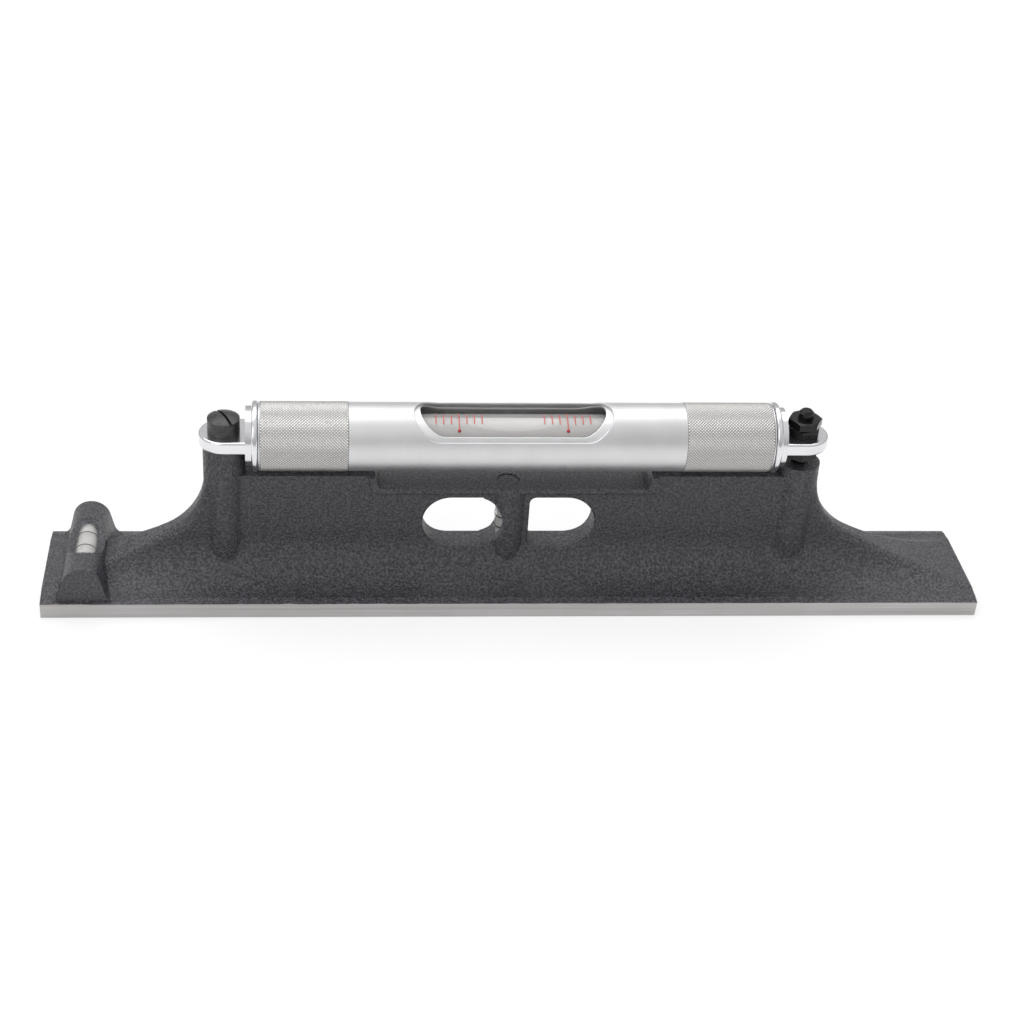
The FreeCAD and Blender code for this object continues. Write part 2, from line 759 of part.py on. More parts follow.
def build_end_cap(label, x, turned):
    """Flange, hub and spigot turned in one piece with the lug that is held at one end."""
    body = new_body(label)
    flange = S["cap_reach"] - S["flange_thickness"]
    hub = flange - S["hub_length"]
    spigot = CARRIER_BORE - S["spigot_fit"]
    profile = new_sketch(body, label + "_profile", "XZ_Plane")
    add_outline(profile, [
        (hub, 0),
        (S["cap_reach"] + S["spigot_length"], 0),
        (S["cap_reach"] + S["spigot_length"], spigot),
        (S["cap_reach"], spigot),
        (S["cap_reach"], S["flange_radius"]),
        (flange, S["flange_radius"]),
        (flange, S["hub_radius"]),
        (hub, S["hub_radius"]),
    ])
    revolve(body, profile, "X_Axis")
    round_edges(body, label + "_rim", S["lug_rounding"],
                lambda edge: near(edge.BoundBox.ZLength, S["flange_radius"] * 2))
    half = S["lug_width"] / 2
    lug = new_sketch(body, label + "_lug", "XY_Plane", -S["lug_drop"])
    add_outline(lug, [
        (0, -half),
        (flange, -half),
        (flange, half),
        (0, half, half, 1),
    ])
    pad(body, lug, S["lug_thickness"])
    round_edges(body, label + "_lug_round", S["lug_rounding"], lambda edge: is_lug_edge(edge, hub))
    hole = new_sketch(body, label + "_hole", "XY_Plane", S["lug_thickness"] - S["lug_drop"])
    add_circle(hole, 0, 0, LUG_HOLE_RADIUS)
    pocket(body, hole, S["lug_thickness"])
    return place(body, x=x, z=S["tube_height"], axis=UPRIGHT, angle=turned)


def is_lug_edge(edge, hub):
    """The level edges round the lug's top and bottom, as far as the hub."""
    box = edge.BoundBox
    level = box.ZLength < SLACK and (near(box.ZMin, -S["lug_drop"])
                                     or near(box.ZMin, S["lug_thickness"] - S["lug_drop"]))
    return level and box.XLength > SLACK and box.XMax < hub.number + SLACK


def window_cutter(name, roll, half, width, corner):
    """A slot with round corners, cut down into the tube along its rolled vertical."""
    body = new_body(name)
    side = width / 2
    outline = new_sketch(body, name + "_outline", "XY_Plane")
    add_outline(outline, [
        (corner - half, -side),
        (half - corner, -side, corner, 1),
        (half, corner - side),
        (half, side - corner, corner, 1),
        (half - corner, side),
        (corner - half, side, corner, 1),
        (-half, side - corner),
        (-half, corner - side, corner, 1),
    ])
    pad(body, outline, S["sleeve_radius"] + S["sleeve_wall"])
    return place(body, x=WINDOW_X, z=S["tube_height"], axis=Vector(1, 0, 0), angle=roll)


def build_tube(label, radius, wall, half, window, rounding):
    """A plain tube along X with a window cut in it, and the window's outer edge rounded."""
    outside = rod_x(label + "_outside", radius, TUBE_X - half, half * 2)
    inside = rod_x(label + "_inside", radius - wall, TUBE_X - half, half * 2)
    plain = cut(label + "_plain", outside, fuse(label + "_hollow", [inside, window]))
    DOCUMENT.recompute()
    body = new_body(label)
    body.BaseFeature = plain
    DOCUMENT.recompute()

    def is_rim(edge):
        """Every point of the edge is on the tube's outside, clear of the tube's ends."""
        points = edge.discretize(Number=7)
        height = S["tube_height"].number
        outside = all(near(math.hypot(point.y, point.z - height), radius) for point in points)
        return outside and all(abs(point.x - TUBE_X.number) < half.number - SLACK for point in points)

    round_edges(body, label + "_rim", rounding, is_rim)
    return body


def build_tubes():
    sleeve_window = window_cutter("sleeve_window", S["sleeve_window_angle"], S["sleeve_window_half"],
                                  S["sleeve_window_width"], S["sleeve_window_corner"])
    carrier_window = window_cutter("carrier_window", S["carrier_window_angle"], S["carrier_window_half"],
                                   S["carrier_window_width"], S["carrier_window_corner"])
    return [
        build_tube("barrel_sleeve", S["sleeve_radius"], S["sleeve_wall"],
                   HALF_SPAN - S["sleeve_end_gap"], sleeve_window, S["sleeve_window_round"]),
        build_tube("vial_carrier", CARRIER_RADIUS, S["carrier_wall"], HALF_SPAN, carrier_window,
                   S["carrier_window_round"]),
    ]


# ---------------------------------------------------------------- vials

def bevelled_rod(name, length, radius, bevel):
    """A rod about its own X axis with bevelled ends."""
    body = new_body(name)
    half = length / 2
    profile = new_sketch(body, name + "_profile", "XZ_Plane")
    add_outline(profile, [
        (-half, 0),
        (half, 0),
        (half, radius - bevel),
        (half - bevel, radius),
        (bevel - half, radius),
        (-half, radius - bevel),
    ])
    revolve(body, profile, "X_Axis")
    return body


def build_vial(label, length, radius, wall, bubble):
    """A sealed glass tube and the spirit in it, less the bubble, about their own X axis."""
    gap = S["spirit_gap"]
    glass = cut(label + "_glass", bevelled_rod(label + "_outside", length, radius, wall),
                bevelled_rod(label + "_inside", length - wall * 2, radius - wall, wall / 2))
    fill = bevelled_rod(label + "_fill", length - (wall + gap) * 2, radius - wall - gap, wall / 2)
    return glass, cut(label + "_spirit", fill, bubble)


def build_main_vial():
    bubble = primitive("Ellipsoid", "main_bubble", Radius1=S["bubble_depth"], Radius2=S["bubble_length"] / 2,
                       Radius3=S["bubble_width"] / 2)
    place(bubble, z=VIAL_BORE)
    pieces = build_vial("main_vial", S["vial_length"], S["vial_radius"], S["vial_wall"], bubble)
    for piece in pieces:
        place(piece, x=WINDOW_X, z=S["tube_height"])
    return list(pieces)


def build_packings():
    """Plaster set round each end of the vial, and the white strip behind it."""
    radius = CARRIER_BORE - S["spigot_fit"]
    half = S["vial_length"] / 2
    length = S["packing_grip"] + S["packing_back"]
    pieces = []
    for side, left, socket_left in (
        ("left", WINDOW_X - half - S["packing_back"], WINDOW_X - half),
        ("right", WINDOW_X + half - S["packing_grip"], WINDOW_X + half - S["packing_grip"]),
    ):
        plug = rod_x(side + "_plug", radius, left, length)
        socket = rod_x(side + "_socket", S["vial_radius"] + S["spirit_gap"], socket_left, S["packing_grip"])
        pieces.append(cut(side + "_vial_packing", plug, socket))
    strip_left = WINDOW_X - BACKING_LENGTH / 2
    outside = rod_x("backing_outside", radius, strip_left, BACKING_LENGTH)
    inside = rod_x("backing_inside", radius - S["backing_thickness"], strip_left, BACKING_LENGTH)
    upper = primitive("Box", "backing_upper", Length=BACKING_LENGTH, Width=radius * 4, Height=radius * 2)
    place(upper, x=strip_left, y=-(radius * 2), z=S["tube_height"] - S["backing_drop"])
    pieces.append(cut("vial_backing", outside, fuse("backing_waste", [inside, upper])))
    return pieces


def build_cross_vial():
    """The vial across the base, slid in from the back of its boss and plugged there."""
    bubble = primitive("Ellipsoid", "cross_bubble", Radius1=S["cross_bubble_depth"],
                       Radius2=S["cross_bubble_length"] / 2, Radius3=S["cross_bubble_width"] / 2)
    place(bubble, z=S["small_vial_radius"] - S["small_vial_wall"])
    glass, spirit = build_vial("cross_vial", S["cross_vial_length"], S["small_vial_radius"],
                               S["small_vial_wall"], bubble)
    for piece in (glass, spirit):
        place(piece, x=BOSS_X, z=S["cross_vial_height"], axis=UPRIGHT, angle=90)
    plug = new_body("cross_vial_plug")
    section = new_sketch(plug, "cross_plug_section", "XZ_Plane", -(S["cross_vial_length"] / 2))
    add_circle(section, BOSS_X, S["cross_vial_height"], S["small_vial_radius"])
    pad(plug, section, BOSS_BACK - S["plug_recess"] - S["cross_vial_length"] / 2, flipped=True)
    return [glass, spirit, plug]


def build_plumb_vial():
    """The upright vial, dropped into the post from the notch and plugged above."""
    length = PLUMB_TOP - S["plumb_vial_foot"]
    bubble = primitive("Sphere", "plumb_bubble", Radius=S["plumb_bubble_radius"])
    place(bubble, x=length / 2 - S["small_vial_radius"])
    glass, spirit = build_vial("plumb_vial", length, S["small_vial_radius"], S["small_vial_wall"], bubble)
    for piece in (glass, spirit):
        place(piece, x=PLUMB_X, z=S["plumb_vial_foot"] + length / 2, axis=ALONG_X, angle=-90)
    plug = new_body("plumb_vial_plug")
    section = new_sketch(plug, "plumb_plug_section", "XY_Plane", PLUMB_TOP)
    add_circle(section, PLUMB_X, 0, S["small_vial_radius"])
    pad(plug, section, S["plumb_plug_height"])
    return [glass, spirit, plug]


def build_everything():
    return [
        build_base(),
        build_pivot_screw(),
        build_stud(),
        *build_nuts(),
        build_end_cap("left_end_cap", PIVOT_X, term(0)),
        build_end_cap("right_end_cap", STUD_X, term(180)),
        *build_tubes(),
        *build_main_vial(),
        *build_packings(),
        *build_cross_vial(),
        *build_plumb_vial(),
    ]


def write_parts(pieces):
    """Check every object, then write one STEP file per piece."""
    DOCUMENT.recompute()
    for item in DOCUMENT.Objects:
        if "Invalid" in item.State or "Error" in item.State:
            raise RuntimeError(f"{item.Label} is in state {item.State}")
    os.makedirs("parts", exist_ok=True)
    for piece in pieces:
        shape = piece.Shape
        if shape.isNull() or not shape.isValid() or len(shape.Solids) != 1:
            raise RuntimeError(f"{piece.Label} is not one valid solid")
        shape.exportStep(f"parts/{piece.Label}.step")


write_parts(build_everything())
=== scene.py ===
"""Looks of the precision machinist level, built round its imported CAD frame. Metres."""
import math

import bmesh
import bpy
from mathutils import Matrix, Vector

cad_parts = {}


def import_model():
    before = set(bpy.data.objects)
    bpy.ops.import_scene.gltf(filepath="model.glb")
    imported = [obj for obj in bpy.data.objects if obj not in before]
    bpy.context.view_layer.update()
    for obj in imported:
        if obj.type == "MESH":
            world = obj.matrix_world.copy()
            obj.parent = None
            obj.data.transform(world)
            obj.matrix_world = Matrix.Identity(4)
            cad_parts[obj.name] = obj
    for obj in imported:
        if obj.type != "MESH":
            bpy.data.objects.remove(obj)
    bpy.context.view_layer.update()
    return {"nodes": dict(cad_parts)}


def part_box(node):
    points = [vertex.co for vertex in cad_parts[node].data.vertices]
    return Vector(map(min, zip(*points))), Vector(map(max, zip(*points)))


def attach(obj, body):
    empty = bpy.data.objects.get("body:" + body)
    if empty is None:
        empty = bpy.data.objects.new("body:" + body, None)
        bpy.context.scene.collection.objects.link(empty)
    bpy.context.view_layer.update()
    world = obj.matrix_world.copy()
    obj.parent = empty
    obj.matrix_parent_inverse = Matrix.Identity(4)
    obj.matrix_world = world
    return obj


MM = 0.001

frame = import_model()
NODES = frame["nodes"]


def middle(node):
    """The centre of a node's box."""
    low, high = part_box(node)
    return (Vector(low) + Vector(high)) / 2


SLEEVE_LOW, SLEEVE_HIGH = (Vector(corner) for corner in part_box("barrel_sleeve"))
AXIS = middle("barrel_sleeve")
SLEEVE_RADIUS = (SLEEVE_HIGH.z - SLEEVE_LOW.z) / 2
VIAL = middle("main_vial_glass")
VIAL_RADIUS = (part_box("main_vial_glass")[1][2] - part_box("main_vial_glass")[0][2]) / 2
CROSS = middle("cross_vial_glass")
PLUMB = middle("plumb_vial_glass")
SMALL_RADIUS = (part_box("cross_vial_glass")[1][2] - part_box("cross_vial_glass")[0][2]) / 2

VIAL_WALL = 1.2 * MM
VIAL_BORE = VIAL_RADIUS - VIAL_WALL
BUBBLE_HALF = (14.7 * MM, 4.6 * MM, 2.6 * MM)
LIQUID_COLOUR = (0.60, 0.575, 0.56)
BUBBLE_COLOUR = (0.93, 0.92, 0.91)


# ---------------------------------------------------------------- shader helpers

class Nodes:
    """Builds one material's node tree."""

    def __init__(self, name):
        self.material = bpy.data.materials.new(name)
        self.material.use_nodes = True
        self.tree = self.material.node_tree
        self.tree.nodes.clear()
        self.output = self.add("ShaderNodeOutputMaterial")
        self.shader = self.add("ShaderNodeBsdfPrincipled")
        self.link(self.shader.outputs[0], self.output.inputs[0])

    def add(self, kind, **values):
        """A new node with the given settings."""
        node = self.tree.nodes.new(kind)
        for key, value in values.items():
            setattr(node, key, value)
        return node

    def link(self, a, b):
        self.tree.links.new(a, b)

    def set(self, **values):
        """Constants of the main shader; an underline stands for a space."""
        for key, value in values.items():
            self.shader.inputs[key.replace("_", " ")].default_value = value

    def place(self, scale=(1, 1, 1), offset=(0, 0, 0)):
        """Object coordinates, stretched."""
        coordinate = self.add("ShaderNodeTexCoord")
        mapping = self.add("ShaderNodeMapping")
        mapping.inputs["Scale"].default_value = scale
        mapping.inputs["Location"].default_value = offset
        self.link(coordinate.outputs["Object"], mapping.inputs["Vector"])
        return mapping.outputs[0]

    def noise(self, where, scale, detail=3, rough=0.5):
        """Noise over the given place, most of it between 0.3 and 0.7."""
        node = self.add("ShaderNodeTexNoise")
        node.inputs["Scale"].default_value = scale
        node.inputs["Detail"].default_value = detail
        node.inputs["Roughness"].default_value = rough
        self.link(where, node.inputs["Vector"])
        return node.outputs["Fac"]

    def ramp(self, value, low, high, from_low=0.3, from_high=0.7):
        """Remap a value, clamped."""
        node = self.add("ShaderNodeMapRange")
        node.inputs["From Min"].default_value = from_low
        node.inputs["From Max"].default_value = from_high
        node.inputs["To Min"].default_value = low
        node.inputs["To Max"].default_value = high
        self.link(value, node.inputs["Value"])
        return node.outputs[0]

    def mix(self, factor, a, b):
        """From colour a to colour b."""
        node = self.add("ShaderNodeMix", data_type="RGBA")
        self.link(factor, node.inputs["Factor"])
        for socket, value in ((node.inputs[6], a), (node.inputs[7], b)):
            if isinstance(value, tuple):
                socket.default_value = (*value, 1)
            else:
                self.link(value, socket)
        return node.outputs[2]

    def math(self, operation, a, b):
        node = self.add("ShaderNodeMath", operation=operation)
        for socket, value in ((node.inputs[0], a), (node.inputs[1], b)):
            if isinstance(value, (int, float)):
                socket.default_value = value
            else:
                self.link(value, socket)
        return node.outputs[0]

    def bump(self, height, distance, strength=1.0):
        node = self.add("ShaderNodeBump")
        node.inputs["Distance"].default_value = distance
        node.inputs["Strength"].default_value = strength
        self.link(height, node.inputs["Height"])
        self.link(node.outputs[0], self.shader.inputs["Normal"])

    def colour(self, output):
        self.link(output, self.shader.inputs["Base Color"])

    def rough(self, output):
        self.link(output, self.shader.inputs["Roughness"])


PAINT_EDGE = (5.10 * MM, 5.22 * MM)
PAINT_RELIEF = 0.6 * MM


def casting_material():
    """Crinkle paint above, bare ground iron on the edge strip and the sole."""
    edge_low, edge_high = PAINT_EDGE
    n = Nodes("japanned_iron_look")
    n.set(Specular_IOR_Level=0.9)
    plain = n.place()
    grain = n.noise(plain, 1300, 3, 0.6)
    coarse = n.noise(plain, 120, 3)
    sparkle = n.ramp(grain, 0, 1, 0.42, 0.62)
    paint = n.mix(sparkle, (0.004, 0.003, 0.006), (0.088, 0.082, 0.100))
    paint = n.mix(n.ramp(coarse, 0, 0.2), paint, (0.036, 0.033, 0.040))
    streak = n.noise(n.place((6, 220, 900)), 1, 4, 0.6)
    stain = n.noise(plain, 60, 3)
    ground = n.mix(n.ramp(streak, 0, 1), (0.36, 0.345, 0.35), (0.62, 0.605, 0.61))
    ground = n.mix(n.ramp(stain, 0, 0.4), ground, (0.42, 0.39, 0.38))
    place = n.add("ShaderNodeTexCoord")
    split = n.add("ShaderNodeSeparateXYZ")
    n.link(place.outputs["Object"], split.inputs[0])
    waver = n.ramp(n.noise(plain, 260, 3), -0.12 * MM, 0.12 * MM, 0, 1)
    height = n.math("ADD", split.outputs["Z"], waver)
    painted = n.ramp(height, 0, 1, edge_low, edge_high)
    n.colour(n.mix(painted, ground, paint))
    metal = n.ramp(height, 0.75, 0, edge_low, edge_high)
    n.link(metal, n.shader.inputs["Metallic"])
    paint_rough = n.ramp(grain, 0.5, 0.32)
    ground_rough = n.ramp(streak, 0.36, 0.5)
    blend = n.add("ShaderNodeMix", data_type="FLOAT")
    n.link(painted, blend.inputs[0])
    n.link(ground_rough, blend.inputs[2])
    n.link(paint_rough, blend.inputs[3])
    n.rough(blend.outputs[0])
    relief = n.math("MULTIPLY", grain, painted)
    fine = n.math("MULTIPLY", streak, 0.04)
    n.bump(n.math("ADD", relief, fine), PAINT_RELIEF, 1.0)
    return n.material


def plated_material(name, colour, rough_low, rough_high, mark_strength=0.25):
    """Plated metal with fine turning marks round the tube's axis."""
    n = Nodes(name)
    n.set(Metallic=1.0)
    marks = n.noise(n.place((2600, 40, 40)), 1, 3, 0.6)
    cloud = n.noise(n.place(), 90, 3)
    dark = tuple(c * 0.93 for c in colour)
    n.colour(n.mix(n.ramp(cloud, 0, 1), colour, dark))
    n.rough(n.ramp(marks, rough_low, rough_high))
    n.bump(marks, 0.012 * MM, mark_strength)
    return n.material


def knurl_material():
    """Plated diamond points, with painted shade darkening the hollows between them."""
    n = Nodes("knurl_look")
    n.set(Metallic=1.0)
    place = n.place()
    across = n.add("ShaderNodeVectorMath", operation="MULTIPLY_ADD")
    n.link(place, across.inputs[0])
    across.inputs[1].default_value = (0, 1, 1)
    across.inputs[2].default_value = (0, -AXIS.y, -AXIS.z)
    radius = n.add("ShaderNodeVectorMath", operation="LENGTH")
    n.link(across.outputs[0], radius.inputs[0])
    foot = SLEEVE_RADIUS + 0.02 * MM
    shoulder = SLEEVE_RADIUS + 0.11 * MM
    # painted shade: the colour goes from dark at the foot of the points to bright at their shoulders, by
    # distance from the tube's axis
    high = n.ramp(radius.outputs["Value"], 0, 1, foot, shoulder)
    n.colour(n.mix(high, (0.36, 0.35, 0.34), (0.80, 0.79, 0.78)))
    n.rough(n.ramp(n.noise(place, 700, 3), 0.34, 0.44))
    return n.material


def black_steel_material(name, colour, rough_low, rough_high):
    """Blackened steel, a little worn."""
    n = Nodes(name)
    n.set(Metallic=0.55)
    wear = n.noise(n.place(), 700, 4, 0.6)
    light = tuple(c * 1.9 for c in colour)
    n.colour(n.mix(n.ramp(wear, 0, 1), colour, light))
    n.rough(n.ramp(wear, rough_low, rough_high))
    n.bump(wear, 0.02 * MM, 0.5)
    return n.material


def glass_material():
    """Thin glass over white: it lets the light on to what is in it, and its own edges are pale."""
    n = Nodes("vial_glass_look")
    n.set(IOR=1.5, Alpha=0.38, Specular_IOR_Level=0.8)
    n.shader.inputs["Base Color"].default_value = (0.74, 0.73, 0.72, 1)
    haze = n.noise(n.place(), 200, 2)
    n.rough(n.ramp(haze, 0.03, 0.06))
    return n.material


def spirit_material():
    """Spirit against its white backing, pale grey, with the bubble white."""
    n = Nodes("spirit_look")
    place = n.place()
    swirl = n.noise(place, 60, 2)
    liquid = n.mix(n.ramp(swirl, 0, 1), LIQUID_COLOUR, tuple(c * 0.96 for c in LIQUID_COLOUR))
    centre = n.add("ShaderNodeVectorMath", operation="SUBTRACT")
    n.link(place, centre.inputs[0])
    centre.inputs[1].default_value = (VIAL.x, VIAL.y, VIAL.z + VIAL_BORE)
    shrink = n.add("ShaderNodeVectorMath", operation="DIVIDE")
    n.link(centre.outputs[0], shrink.inputs[0])
    shrink.inputs[1].default_value = BUBBLE_HALF
    reach = n.add("ShaderNodeVectorMath", operation="LENGTH")
    n.link(shrink.outputs[0], reach.inputs[0])
    n.colour(n.mix(n.ramp(reach.outputs["Value"], 0, 1, 1.02, 1.07), BUBBLE_COLOUR, liquid))
    n.rough(n.ramp(swirl, 0.3, 0.4))
    return n.material


def matt_material(name, colour, scale=500, depth=0.05, rough=(0.7, 0.85)):
    """A fine grained matt surface; the depth of its grain is in millimetres."""
    n = Nodes(name)
    grain = n.noise(n.place(), scale, 4, 0.6)
    dark = tuple(c * 0.9 for c in colour)
    n.colour(n.mix(n.ramp(grain, 0, 1), colour, dark))
    n.rough(n.ramp(grain, *rough))
    n.bump(grain, depth * MM, 0.6)
    return n.material


MATERIALS = {
    "casting": casting_material(),
    "sleeve": plated_material("bright_plate_look", (0.74, 0.74, 0.75), 0.42, 0.5),
    "cap": plated_material("cap_plate_look", (0.80, 0.80, 0.82), 0.14, 0.22, 0.15),
    "knurl": knurl_material(),
    "carrier": plated_material("satin_plate_look", (0.88, 0.88, 0.89), 0.4, 0.5),
    "screw": black_steel_material("blackened_screw_look", (0.045, 0.044, 0.044), 0.3, 0.44),
    "nut": black_steel_material("blackened_nut_look", (0.012, 0.012, 0.013), 0.14, 0.26),
    "glass": glass_material(),
    "spirit": spirit_material(),
    "milky": matt_material("small_vial_fill_look", (0.80, 0.79, 0.76), 300, 0.02, (0.2, 0.35)),
    "plaster": matt_material("plaster_look", (0.80, 0.79, 0.76)),
    "card": matt_material("white_card_look", (0.84, 0.84, 0.84)),
    "red": matt_material("red_line_look", (0.72, 0.14, 0.11), 900, 0.01, (0.35, 0.5)),
    "dark red": matt_material("red_dot_look", (0.50, 0.03, 0.045), 900, 0.01, (0.35, 0.5)),
    "black": matt_material("black_line_look", (0.012, 0.012, 0.013), 900, 0.01, (0.35, 0.5)),
}

NODE_LOOKS = {
    "base_casting": "casting", "pivot_screw": "screw", "adjusting_stud": "nut", "adjusting_nut": "nut",
    "lock_nut": "nut", "top_nut": "nut", "left_end_cap": "cap", "right_end_cap": "cap",
    "barrel_sleeve": "sleeve", "vial_carrier": "carrier", "main_vial_glass": "glass",
    "main_vial_spirit": "spirit", "left_vial_packing": "plaster", "right_vial_packing": "plaster",
    "vial_backing": "card", "cross_vial_glass": "glass", "cross_vial_spirit": "milky",
    "cross_vial_plug": "casting", "plumb_vial_glass": "glass", "plumb_vial_spirit": "milky",
    "plumb_vial_plug": "casting",
}
for node_name, look in NODE_LOOKS.items():
    slots = NODES[node_name].data.materials
    if len(slots) == 0:
        slots.append(MATERIALS[look])
    for index in range(len(slots)):
        slots[index] = MATERIALS[look]


# ---------------------------------------------------------------- added pieces

def new_piece(name, mesh_builder, look, body, smooth=True):
    """Make a mesh with the builder, and ride it on a body."""
    shape = bmesh.new()
    mesh_builder(shape)
    bmesh.ops.recalc_face_normals(shape, faces=shape.faces)
    mesh = bpy.data.meshes.new(name)
    shape.to_mesh(mesh)
    shape.free()
    for polygon in mesh.polygons:
        polygon.use_smooth = smooth
    piece = bpy.data.objects.new(name, mesh)
    bpy.context.scene.collection.objects.link(piece)
    mesh.materials.append(MATERIALS[look])
    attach(piece, body)
    return piece


def on_tube(x, turn, radius, centre):
    """A point round an X axis: turn 0 is towards the front, 90 degrees is straight up."""
    angle = math.radians(turn)
    return Vector((x, centre.y - radius * math.cos(angle), centre.z + radius * math.sin(angle)))


KNURL_PITCH = 0.98 * MM
KNURL_HEIGHT = 0.16 * MM
KNURL_SINK = 0.25 * MM
KNURL_VALLEY = 0.01 * MM


def knurl_builder(start, end):
    """A band of diamond points between two places along the tube, closed inside the sleeve's wall."""
    def build(shape):
        columns = 2 * round((end - start) / KNURL_PITCH)
        rows = 2 * round(2 * math.pi * SLEEVE_RADIUS / KNURL_PITCH)
        grid = []
        for column in range(columns + 1):
            x = start + (end - start) * column / columns
            ring = []
            edge = column in (0, columns)
            for row in range(rows):
                high = (row + column) % 2 and not edge
                radius = SLEEVE_RADIUS + (KNURL_HEIGHT if high else KNURL_VALLEY)
                ring.append(shape.verts.new(on_tube(x, 360 * row / rows, radius, AXIS)))
            grid.append(ring)
        for column in range(columns):
            for row in range(rows):
                after = (row + 1) % rows
                a, b = grid[column][row], grid[column + 1][row]
                c, d = grid[column + 1][after], grid[column][after]
                if (row + column) % 2:
                    shape.faces.new((a, b, d))
                    shape.faces.new((b, c, d))
                else:
                    shape.faces.new((a, b, c))
                    shape.faces.new((a, c, d))
        inner = []
        sunk = SLEEVE_RADIUS - KNURL_SINK
        for x in (start, end):
            turns = [360 * row / rows for row in range(rows)]
            inner.append([shape.verts.new(on_tube(x, turn, sunk, AXIS)) for turn in turns])
        for row in range(rows):
            after = (row + 1) % rows
            shape.faces.new((grid[0][row], grid[0][after], inner[0][after], inner[0][row]))
            shape.faces.new((grid[-1][row], grid[-1][after], inner[1][after], inner[1][row]))
            shape.faces.new((inner[0][row], inner[0][after], inner[1][after], inner[1][row]))
    return build


BAND_LENGTH = 27.85 * MM
BAND_INSET = 0.35 * MM
LEFT_BAND = SLEEVE_LOW.x + BAND_INSET
RIGHT_BAND = SLEEVE_HIGH.x - BAND_INSET
new_piece("left_knurl", knurl_builder(LEFT_BAND, LEFT_BAND + BAND_LENGTH),
          "knurl", "sleeve", smooth=False)
new_piece("right_knurl", knurl_builder(RIGHT_BAND - BAND_LENGTH, RIGHT_BAND),
          "knurl", "sleeve", smooth=False)


def arc_strip(shape, centre, radius, x, width, first, last, thickness, steps=24):
    """A thin curved line lying round an X axis on a surface of the given radius."""
    rings = []
    for step in range(steps + 1):
        turn = first + (last - first) * step / steps
        rings.append([
            shape.verts.new(on_tube(x + side * width / 2, turn, radius + lift, centre))
            for side, lift in ((-1, 0), (1, 0), (1, thickness), (-1, thickness))
        ])
    for before, after in zip(rings, rings[1:]):
        for corner in range(4):
            following = (corner + 1) % 4
            shape.faces.new((before[corner], before[following], after[following], after[corner]))
    shape.faces.new(rings[0])
    shape.faces.new(rings[-1])


def dot(shape, centre, radius, x, turn, size, thickness, sides=20):
    """A round dot on the same surface."""
    low, high = [], []
    for side in range(sides):
        angle = 2 * math.pi * side / sides
        swing = turn + math.degrees(size * math.sin(angle) / radius)
        across = x + size * math.cos(angle)
        low.append(shape.verts.new(on_tube(across, swing, radius, centre)))
        high.append(shape.verts.new(on_tube(across, swing, radius + thickness, centre)))
    shape.faces.new(low)
    shape.faces.new(high)
    for side in range(sides):
        after = (side + 1) % sides
        shape.faces.new((low[side], low[after], high[after], high[side]))


MARK_LIFT = 0.01 * MM
MARK_THICKNESS = 0.05 * MM
MARK_WIDTH = 0.34 * MM
MARK_SPACING = 2.43 * MM
MARK_GROUPS = (-17.1 * MM, 17.3 * MM)
LONG_MARK = (46, 134)
SHORT_MARK = (63.5, 100)
DOT_TURN = 45
DOT_RADIUS = 0.55 * MM


def graduation_builder(shape):
    """Two groups of red lines: a long one, and three short ones each side of it."""
    radius = VIAL_RADIUS + MARK_LIFT
    for offset in MARK_GROUPS:
        for step in range(-3, 4):
            first, last = LONG_MARK if step == 0 else SHORT_MARK
            x = VIAL.x + offset + step * MARK_SPACING
            arc_strip(shape, VIAL, radius, x, MARK_WIDTH, first, last, MARK_THICKNESS)


def dot_builder(shape):
    """The dot at the lower end of each long line."""
    radius = VIAL_RADIUS + MARK_LIFT + MARK_THICKNESS / 2
    for offset in MARK_GROUPS:
        dot(shape, VIAL, radius, VIAL.x + offset, DOT_TURN, DOT_RADIUS, MARK_THICKNESS)


new_piece("graduations", graduation_builder, "red", "vial_tube")
new_piece("graduation_dots", dot_builder, "dark red", "vial_tube")


LINE_WIDTH = 0.45 * MM
LINE_THICKNESS = 0.03 * MM
LINE_LIFT = 0.005 * MM
LINE_STEPS = 48
CROSS_LINES = (-3.3 * MM, 3.9 * MM)
PLUMB_LINES = (-2.0 * MM, 2.0 * MM)


def ring_builder(centre, along, places):
    """Black lines round a small vial, at places along its axis."""
    section = ((-1, 0), (1, 0), (1, LINE_THICKNESS), (-1, LINE_THICKNESS))

    def build(shape):
        turn = Matrix.Rotation(math.radians(90), 3, "Z" if along == "y" else "Y")
        for place in places:
            rings = []
            for step in range(LINE_STEPS):
                angle = 2 * math.pi * step / LINE_STEPS
                corners = []
                for side, lift in section:
                    radius = SMALL_RADIUS + LINE_LIFT + lift
                    across = place + side * LINE_WIDTH / 2
                    point = Vector((across, radius * math.cos(angle), radius * math.sin(angle)))
                    corners.append(shape.verts.new(centre + turn @ point))
                rings.append(corners)
            for step in range(LINE_STEPS):
                a, b = rings[step], rings[(step + 1) % LINE_STEPS]
                for corner in range(4):
                    following = (corner + 1) % 4
                    shape.faces.new((a[corner], a[following], b[following], b[corner]))
    return build


new_piece("cross_vial_lines", ring_builder(CROSS, "y", CROSS_LINES), "black", "base")
new_piece("plumb_vial_lines", ring_builder(PLUMB, "z", PLUMB_LINES), "black", "base")


# ---------------------------------------------------------------- floor, light and camera

FLOOR_SIZE = 6.0
FLOOR_DROP = 0.02 * MM
FLOOR_GLOW = 0.62
SKY_LOW = 0.5
SKY_HIGH = 1.0


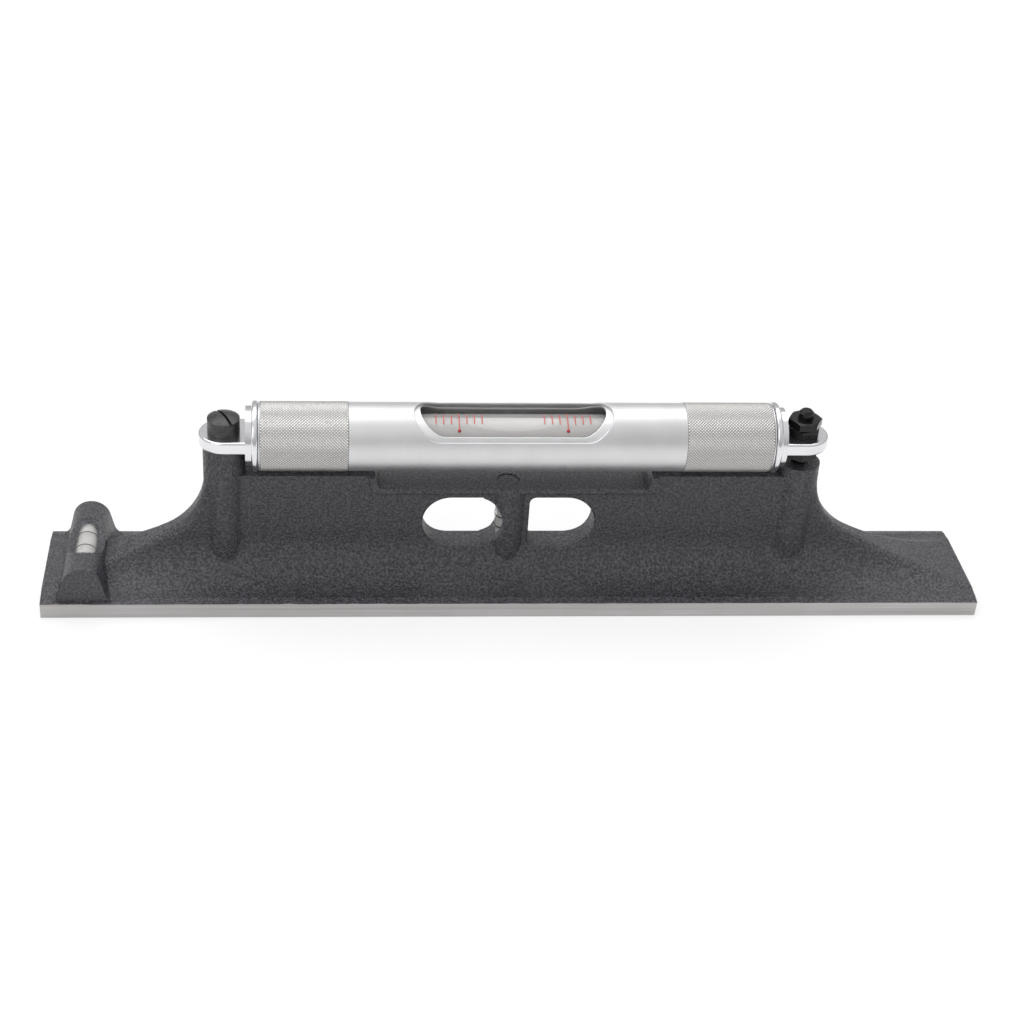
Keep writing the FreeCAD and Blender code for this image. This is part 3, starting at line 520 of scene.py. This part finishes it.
def floor():
    """A pale floor, lifted to white for the eye and in reflections, that keeps the part's shadow."""
    n = Nodes("floor_look")
    size = FLOOR_SIZE
    mesh = bpy.data.meshes.new("floor")
    corners = [(-size, -size, 0), (size, -size, 0), (size, size, 0), (-size, size, 0)]
    mesh.from_pydata(corners, [], [(0, 1, 2, 3)])
    ground = bpy.data.objects.new("floor", mesh)
    bpy.context.scene.collection.objects.link(ground)
    ground.location.z = -FLOOR_DROP
    n.shader.inputs["Base Color"].default_value = (0.40, 0.40, 0.40, 1)
    n.shader.inputs["Roughness"].default_value = 0.9
    n.shader.inputs["Specular IOR Level"].default_value = 0.0
    path = n.add("ShaderNodeLightPath")
    seen = n.math("MAXIMUM", path.outputs["Is Camera Ray"], path.outputs["Is Glossy Ray"])
    seen = n.math("MAXIMUM", seen, path.outputs["Is Transmission Ray"])
    glow = n.add("ShaderNodeEmission")
    n.link(n.math("MULTIPLY", seen, FLOOR_GLOW), glow.inputs["Strength"])
    both = n.add("ShaderNodeAddShader")
    n.link(n.shader.outputs[0], both.inputs[0])
    n.link(glow.outputs[0], both.inputs[1])
    n.link(both.outputs[0], n.output.inputs[0])
    mesh.materials.append(n.material)


def world():
    """Plain white to the eye and in reflections from above, softer towards the horizon."""
    sky = bpy.data.worlds.new("studio")
    bpy.context.scene.world = sky
    sky.use_nodes = True
    tree = sky.node_tree
    tree.nodes.clear()
    output = tree.nodes.new("ShaderNodeOutputWorld")
    background = tree.nodes.new("ShaderNodeBackground")
    tree.links.new(background.outputs[0], output.inputs[0])
    path = tree.nodes.new("ShaderNodeLightPath")
    coordinate = tree.nodes.new("ShaderNodeTexCoord")
    split = tree.nodes.new("ShaderNodeSeparateXYZ")
    tree.links.new(coordinate.outputs["Generated"], split.inputs[0])
    shade = tree.nodes.new("ShaderNodeMapRange")
    shade.inputs["From Min"].default_value = 0.0
    shade.inputs["From Max"].default_value = 0.9
    shade.inputs["To Min"].default_value = SKY_LOW
    shade.inputs["To Max"].default_value = SKY_HIGH
    tree.links.new(split.outputs["Z"], shade.inputs["Value"])
    direct = tree.nodes.new("ShaderNodeMath")
    direct.operation = "MAXIMUM"
    tree.links.new(path.outputs["Is Camera Ray"], direct.inputs[0])
    tree.links.new(path.outputs["Is Transmission Ray"], direct.inputs[1])
    strength = tree.nodes.new("ShaderNodeMath")
    strength.operation = "MAXIMUM"
    tree.links.new(direct.outputs[0], strength.inputs[0])
    tree.links.new(shade.outputs[0], strength.inputs[1])
    tree.links.new(strength.outputs[0], background.inputs["Strength"])


def lamp(name, place, aim, size, power):
    """A soft rectangular lamp that looks at a point."""
    data = bpy.data.lights.new(name, "AREA")
    data.shape = "RECTANGLE"
    data.size, data.size_y = size
    data.energy = power
    light = bpy.data.objects.new(name, data)
    light.location = place
    light.rotation_mode = "QUATERNION"
    light.rotation_quaternion = (Vector(aim) - Vector(place)).to_track_quat("-Z", "Y")
    bpy.context.scene.collection.objects.link(light)


CAMERA_PLACE = (-70.9 * MM, -523.5 * MM, 371.2 * MM)
CAMERA_TURN = (4.06, 33.54, 2.25)
CAMERA_LENS = 67.85
CAMERA_SHIFT = (0.1, 0.0087)


def camera():
    """Stands in front of the left half, turned right by the yaw, down by the pitch, and rolled."""
    yaw, pitch, roll = (math.radians(angle) for angle in CAMERA_TURN)
    forward = Vector((math.sin(yaw) * math.cos(pitch), math.cos(yaw) * math.cos(pitch), -math.sin(pitch)))
    level = Vector((math.cos(yaw), -math.sin(yaw), 0))
    upright = level.cross(forward)
    right = level * math.cos(roll) + upright * math.sin(roll)
    up = upright * math.cos(roll) - level * math.sin(roll)
    data = bpy.data.cameras.new("camera")
    data.sensor_width = 36
    data.lens = CAMERA_LENS
    data.shift_x, data.shift_y = CAMERA_SHIFT
    data.clip_start = 0.01
    data.clip_end = 50
    view = bpy.data.objects.new("camera", data)
    view.matrix_world = Matrix((
        (right.x, up.x, -forward.x, CAMERA_PLACE[0]),
        (right.y, up.y, -forward.y, CAMERA_PLACE[1]),
        (right.z, up.z, -forward.z, CAMERA_PLACE[2]),
        (0, 0, 0, 1),
    ))
    bpy.context.scene.collection.objects.link(view)
    bpy.context.scene.camera = view


floor()
world()
LAMP_AIM = (0, 0, 0.03)
lamp("key", (-0.15, 0.38, 1.1), LAMP_AIM, (1.6, 0.9), 7)
lamp("fill", (-0.7, -0.8, 0.8), LAMP_AIM, (0.8, 0.8), 2.5)
camera()
bpy.context.scene.view_settings.view_transform = "Standard"
